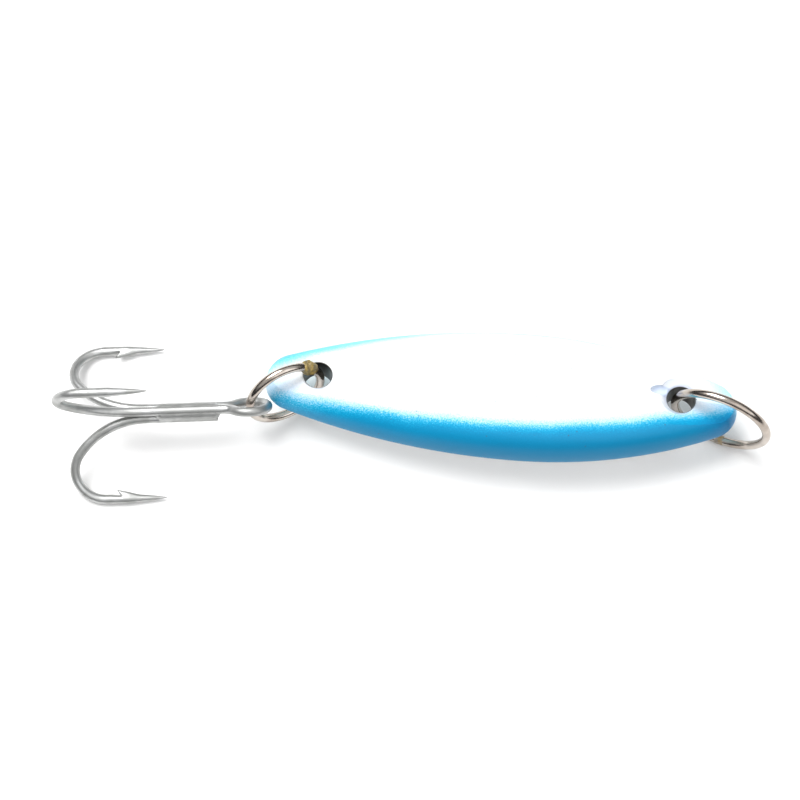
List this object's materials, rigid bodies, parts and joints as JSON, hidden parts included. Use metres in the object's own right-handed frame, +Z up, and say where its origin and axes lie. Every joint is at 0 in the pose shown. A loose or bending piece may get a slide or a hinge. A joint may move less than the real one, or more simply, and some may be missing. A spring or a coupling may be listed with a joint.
{
  "type": "spoon lure",
  "caption": "Solid casting spoon with a painted oval body, a brazed line-tie ring at one end and a treble hook on a brazed ring at the other.",
  "frame": {"origin": "on the plane that the lure lies on, under the middle of its overall box", "axes": "+X along the body towards the line tie, +Z up out of the upper face, +Y to the left of the line tie seen from above"},
  "size_m": [0.0866, 0.024, 0.0176],
  "materials": {
    "white_paint": "gloss white enamel with an airbrushed blue edge",
    "ring_steel": "nickelled wire, polished",
    "braze": "brazing brass under thin nickel",
    "hook_tin": "satin tinned steel wire",
    "hook_solder": "tinned braze"
  },
  "bodies": {
    "spoon": {"spoon_body": "white_paint"},
    "line_tie": {"tie_ring": "ring_steel", "tie_ring_braze": "braze"},
    "hook_link": {"hook_ring": "ring_steel", "hook_ring_braze": "braze"},
    "treble": {"double_hook": "hook_tin", "single_hook": "hook_tin", "hook_braze": "hook_solder"}
  },
  "joints": [
    {"name": "tie_ring_swing", "type": "hinge", "parent": "spoon", "child": "line_tie", "pos_m": [0.03164, 0.00456, 0.00639], "axis": [0, 0.225, 0.9744], "range_deg": [-80, 110]},
    {"name": "hook_ring_swing", "type": "hinge", "parent": "spoon", "child": "hook_link", "pos_m": [-0.01202, 0.00469, 0.00607], "axis": [0, 0.225, 0.9744], "range_deg": [-85, 60]},
    {"name": "treble_swing", "type": "hinge", "parent": "hook_link", "child": "treble", "pos_m": [-0.02008, -0.00015, 0.00607], "axis": [-0.1549, 0.2578, 0.9537], "range_deg": [-60, 45]}
  ]
}
